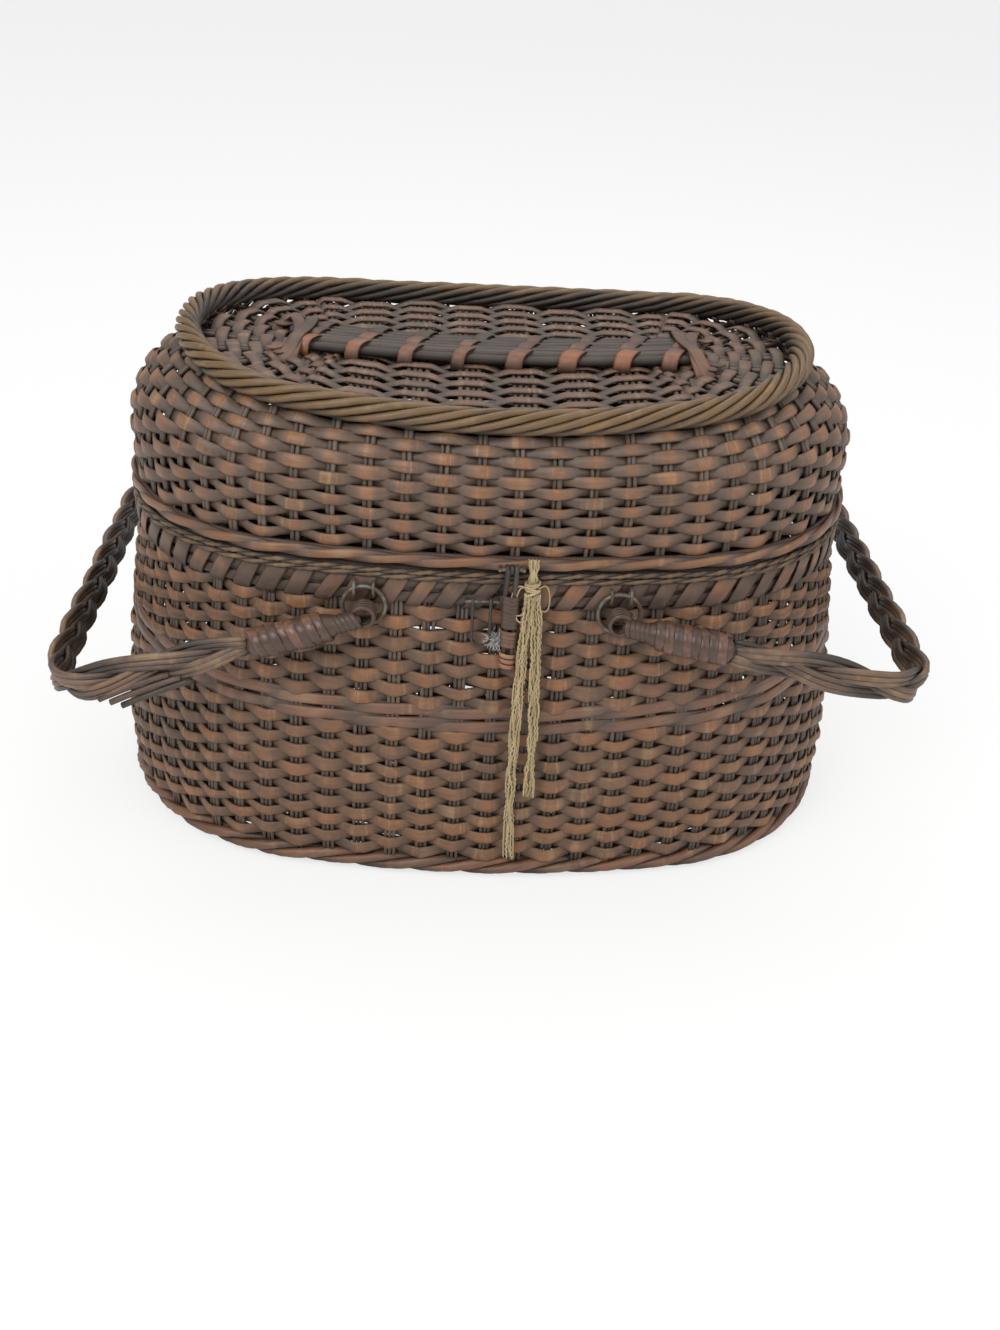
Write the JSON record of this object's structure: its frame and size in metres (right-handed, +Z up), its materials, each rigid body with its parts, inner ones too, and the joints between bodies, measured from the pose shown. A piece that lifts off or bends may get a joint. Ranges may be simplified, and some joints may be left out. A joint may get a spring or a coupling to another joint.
{
  "type": "wicker creel",
  "caption": "Lidded oval wicker basket with twisted borders, hinged lid, swing bail handles of plaited willow, a loop hasp and string tails.",
  "frame": {"origin": "middle of the underside of the foot, on the surface that the basket stands on", "axes": "+Z up, X along the length of the oval, the latch side faces -Y"},
  "size_m": [0.4316, 0.2644, 0.2551],
  "materials": {
    "willow_dark": "aged willow, dull sheen",
    "willow_red": "reddish brown willow skin, worn satin",
    "willow_gold": "golden tan willow, worn satin",
    "cane_wrap": "split cane, satin",
    "inner_cane": "aged willow, matt",
    "string": "twisted natural string, matt",
    "tuft": "grey frayed fibre, matt",
    "wire": "dark tarnished wire"
  },
  "bodies": {
    "basket": {"foot_hoop": "willow_dark", "foot_border": "willow_gold", "base_long_sticks": "willow_dark", "base_weave": "inner_cane", "base_cross_sticks": "willow_dark", "body_stakes": "willow_dark", "lower_weave": "willow_red", "mid_wale": "willow_gold", "upper_weave": "willow_red", "rim_hoop": "inner_cane", "rim_lashing": "cane_wrap", "rim_cord": "string", "hinge_loops": "cane_wrap", "handle_rings": "wire", "handle_staples": "wire", "keeper_pin": "wire", "frayed_tuft": "tuft"},
    "lid": {"lid_band": "willow_gold", "lid_weave": "willow_red", "lid_stakes": "willow_dark", "top_border": "willow_gold", "top_weave": "inner_cane", "ridge_sticks": "willow_dark", "ridge_cross_sticks": "willow_dark", "ridge_straps": "cane_wrap", "ridge_end_ties": "cane_wrap", "hasp_pin": "wire", "string_knot": "string", "string_left_tail": "string", "string_right_tail": "string"},
    "left_handle": {"left_handle_braid": "inner_cane", "left_handle_ends": "cane_wrap"},
    "right_handle": {"right_handle_braid": "inner_cane", "right_handle_ends": "cane_wrap"},
    "hasp": {"hasp_loop": "inner_cane", "hasp_wraps": "cane_wrap"},
    "keeper": {"keeper_loop": "inner_cane"}
  },
  "joints": [
    {"name": "lid_hinge", "type": "hinge", "parent": "basket", "child": "lid", "pos_m": [0, 0.118, 0.17], "axis": [1, 0, 0], "range_deg": [-100, 0]},
    {"name": "left_handle_swing", "type": "hinge", "parent": "basket", "child": "left_handle", "pos_m": [-0.06, 0, 0.148], "axis": [0, 1, 0], "range_deg": [0, 125]},
    {"name": "right_handle_swing", "type": "hinge", "parent": "basket", "child": "right_handle", "pos_m": [0.06, 0, 0.148], "axis": [0, -1, 0], "range_deg": [0, 120]},
    {"name": "hasp_swing", "type": "hinge", "parent": "lid", "child": "hasp", "pos_m": [0.008, -0.121, 0.1736], "axis": [-1, 0, 0], "range_deg": [0, 120]},
    {"name": "keeper_swing", "type": "hinge", "parent": "basket", "child": "keeper", "pos_m": [-0.005, -0.1194, 0.156], "axis": [-1, 0, 0], "range_deg": [0, 60]}
  ]
}
